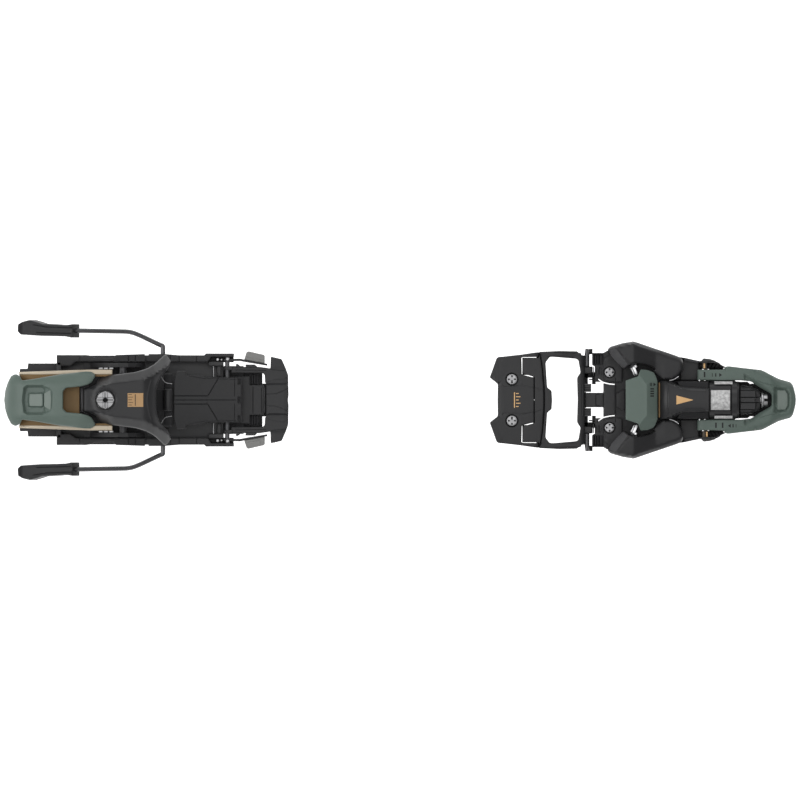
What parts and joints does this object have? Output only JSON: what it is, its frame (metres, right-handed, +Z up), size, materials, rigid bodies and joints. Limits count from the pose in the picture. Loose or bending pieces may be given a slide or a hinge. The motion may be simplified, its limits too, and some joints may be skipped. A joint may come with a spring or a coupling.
{
  "type": "ski touring binding",
  "caption": "Alpine touring ski binding in two units: toe with jaw wings, touring pins and walk-mode switch; heel with step-in cup, lever, ski brake and climbing aid.",
  "frame": {"origin": "midpoint of the two front toe screws, on the plane of the ski's top face", "axes": "+X to the ski tip, +Y to the left of the ski, +Z up from the ski"},
  "size_m": [0.6328, 0.1288, 0.1527],
  "materials": {
    "black_plastic": "fine moulded texture",
    "gloss_black": "satin moulded",
    "green_plastic": "satin moulded",
    "grey_plastic": "satin moulded",
    "steel": "brushed",
    "black_steel": "black coated",
    "bronze": "satin anodised",
    "gold": "satin",
    "clear_plastic": "clear"
  },
  "bodies": {
    "base": {"toe_base": "black_plastic", "toe_rear_plate": "black_plastic", "toe_front_screws": "steel", "toe_rear_screws": "steel", "toe_housing": "gloss_black", "toe_window": "clear_plastic", "toe_front_cap": "black_plastic", "toe_spring_seat": "steel", "toe_spring": "steel", "wing_axle_left": "steel", "wing_axle_right": "steel", "lever_pin_left": "gold", "lever_pin_right": "gold", "pivot_cap_left": "grey_plastic", "pivot_cap_right": "grey_plastic", "toggle_axle": "steel", "heel_track": "black_plastic", "heel_screws": "steel"},
    "boot_rest": {"boot_rest_frame": "black_plastic", "boot_rest_block": "black_plastic"},
    "wing_left": {"wing_left": "black_plastic", "pin_axle_left": "steel"},
    "wing_right": {"wing_right": "black_plastic", "pin_axle_right": "steel"},
    "touring_pin_left": {"tech_pin_left": "steel"},
    "touring_pin_right": {"tech_pin_right": "steel"},
    "mode_switch": {"mode_switch": "green_plastic"},
    "front_lever": {"front_lever": "green_plastic"},
    "toe_nut": {"toe_nut": "steel", "toe_pointer": "gold"},
    "toe_release_screw": {"toe_release_screw": "steel"},
    "carriage": {"heel_carriage": "black_plastic", "carriage_front_block": "black_plastic", "front_axle": "steel", "pressure_spring_left": "steel", "pressure_spring_right": "steel"},
    "adjust_screw": {"adjust_screw": "steel"},
    "slider": {"heel_slider": "black_steel", "housing_axle": "steel"},
    "housing": {"heel_housing": "gloss_black", "scale_plate": "gold", "heel_spring_seat": "steel", "heel_spring": "steel", "heel_lever_pin_left": "steel", "heel_lever_pin_right": "steel"},
    "release_cap": {"release_cap": "steel"},
    "heel_lever": {"lever_core": "bronze", "heel_lever": "green_plastic"},
    "pedal": {"brake_pedal": "black_plastic"},
    "brake_left": {"brake_wire_left": "black_steel", "brake_pad_left": "black_plastic"},
    "brake_right": {"brake_wire_right": "black_steel", "brake_pad_right": "black_plastic"},
    "lock_left": {"lock_leaf_left": "black_steel", "lock_tab_left": "grey_plastic"},
    "lock_right": {"lock_leaf_right": "black_steel", "lock_tab_right": "grey_plastic"},
    "climbing_aid": {"climbing_aid": "black_plastic"}
  },
  "joints": [
    {"name": "boot_rest_drop", "type": "slide", "parent": "base", "child": "boot_rest", "axis": [0, 0, 1], "range_m": [-0.004, 0]},
    {"name": "wing_left_open", "type": "hinge", "parent": "base", "child": "wing_left", "pos_m": [0.0463, 0.028, 0.03], "axis": [0, 0, -1], "range_deg": [0, 30], "stiffness_Nm_per_rad": 20},
    {"name": "wing_right_open", "type": "hinge", "parent": "base", "child": "wing_right", "pos_m": [0.0463, -0.028, 0.03], "axis": [0, 0, 1], "range_deg": [0, 30], "stiffness_Nm_per_rad": 20},
    {"name": "pin_left_fold", "type": "hinge", "parent": "wing_left", "child": "touring_pin_left", "pos_m": [0.0192, 0.0258, 0.0275], "axis": [0, 0, -1], "range_deg": [0, 70.6]},
    {"name": "pin_right_fold", "type": "hinge", "parent": "wing_right", "child": "touring_pin_right", "pos_m": [0.0192, -0.0258, 0.0275], "axis": [0, 0, 1], "range_deg": [0, 70.6]},
    {"name": "mode_switch_lift", "type": "hinge", "parent": "base", "child": "mode_switch", "pos_m": [0.032, 0, 0.042], "axis": [0, 1, 0], "range_deg": [0, 60.5]},
    {"name": "front_lever_lift", "type": "hinge", "parent": "base", "child": "front_lever", "pos_m": [0.0755, 0, 0.025], "axis": [0, -1, 0], "range_deg": [0, 50]},
    {"name": "toe_release_turn", "type": "hinge", "parent": "base", "child": "toe_release_screw", "pos_m": [0.1, 0, 0.03], "axis": [1, 0, 0], "range_deg": [-725, 1450]},
    {"name": "toe_nut_travel", "type": "slide", "parent": "base", "child": "toe_nut", "axis": [-1, 0, 0], "range_m": [-0.002, 0.004], "deforming": ["toe_spring"]},
    {"name": "carriage_adjust", "type": "slide", "parent": "base", "child": "carriage", "axis": [1, 0, 0], "range_m": [-0.015, 0.015]},
    {"name": "adjust_screw_turn", "type": "hinge", "parent": "carriage", "child": "adjust_screw", "pos_m": [-0.419, 0, 0.0086], "axis": [1, 0, 0], "range_deg": [-1805, 1805]},
    {"name": "forward_pressure", "type": "slide", "parent": "carriage", "child": "slider", "axis": [-1, 0, 0], "range_m": [0, 0.008], "stiffness_N_per_m": 15000, "deforming": ["pressure_spring_left", "pressure_spring_right"]},
    {"name": "housing_close", "type": "hinge", "parent": "slider", "child": "housing", "pos_m": [-0.389, 0, 0.042], "axis": [0, 1, 0], "range_deg": [0, 28]},
    {"name": "heel_lever_lift", "type": "hinge", "parent": "housing", "child": "heel_lever", "pos_m": [-0.403, 0, 0.06], "axis": [0, 1, 0], "range_deg": [0, 15]},
    {"name": "heel_release_turn", "type": "hinge", "parent": "housing", "child": "release_cap", "pos_m": [-0.4028, 0, 0.075], "axis": [0, 0, 1], "range_deg": [-720, 1440]},
    {"name": "pedal_press", "type": "hinge", "parent": "carriage", "child": "pedal", "pos_m": [-0.306, 0, 0.016], "axis": [0, -1, 0], "range_deg": [0, 10], "stiffness_Nm_per_rad": 3},
    {"name": "brake_left_swing", "type": "hinge", "parent": "carriage", "child": "brake_left", "pos_m": [-0.3575, 0, 0.014], "axis": [0, 1, 0], "range_deg": [0, 36.2]},
    {"name": "brake_right_swing", "type": "hinge", "parent": "carriage", "child": "brake_right", "pos_m": [-0.3575, 0, 0.014], "axis": [0, 1, 0], "range_deg": [0, 36.2]},
    {"name": "lock_left_flip", "type": "hinge", "parent": "carriage", "child": "lock_left", "pos_m": [-0.306, 0.032, 0.016], "axis": [0, -1, 0], "range_deg": [0, 25]},
    {"name": "lock_right_flip", "type": "hinge", "parent": "carriage", "child": "lock_right", "pos_m": [-0.306, -0.032, 0.016], "axis": [0, -1, 0], "range_deg": [0, 25.1]},
    {"name": "climbing_aid_flip", "type": "hinge", "parent": "carriage", "child": "climbing_aid", "pos_m": [-0.306, 0, 0.016], "axis": [0, -1, 0], "range_deg": [0, 90]}
  ],
  "couplings": [
    {"joint": "mode_switch_lift", "follows": "boot_rest_drop", "rad_per_m": -263.16},
    {"joint": "pin_left_fold", "follows": "boot_rest_drop", "rad_per_m": -307.02},
    {"joint": "pin_right_fold", "follows": "boot_rest_drop", "rad_per_m": -307.02},
    {"joint": "toe_release_turn", "follows": "toe_nut_travel", "rad_per_m": 6283.2},
    {"joint": "adjust_screw_turn", "follows": "carriage_adjust", "rad_per_m": 2094.4},
    {"joint": "brake_left_swing", "follows": "pedal_press", "ratio": 3.6},
    {"joint": "brake_right_swing", "follows": "pedal_press", "ratio": 3.6},
    {"joint": "lock_right_flip", "follows": "lock_left_flip", "ratio": 1}
  ]
}
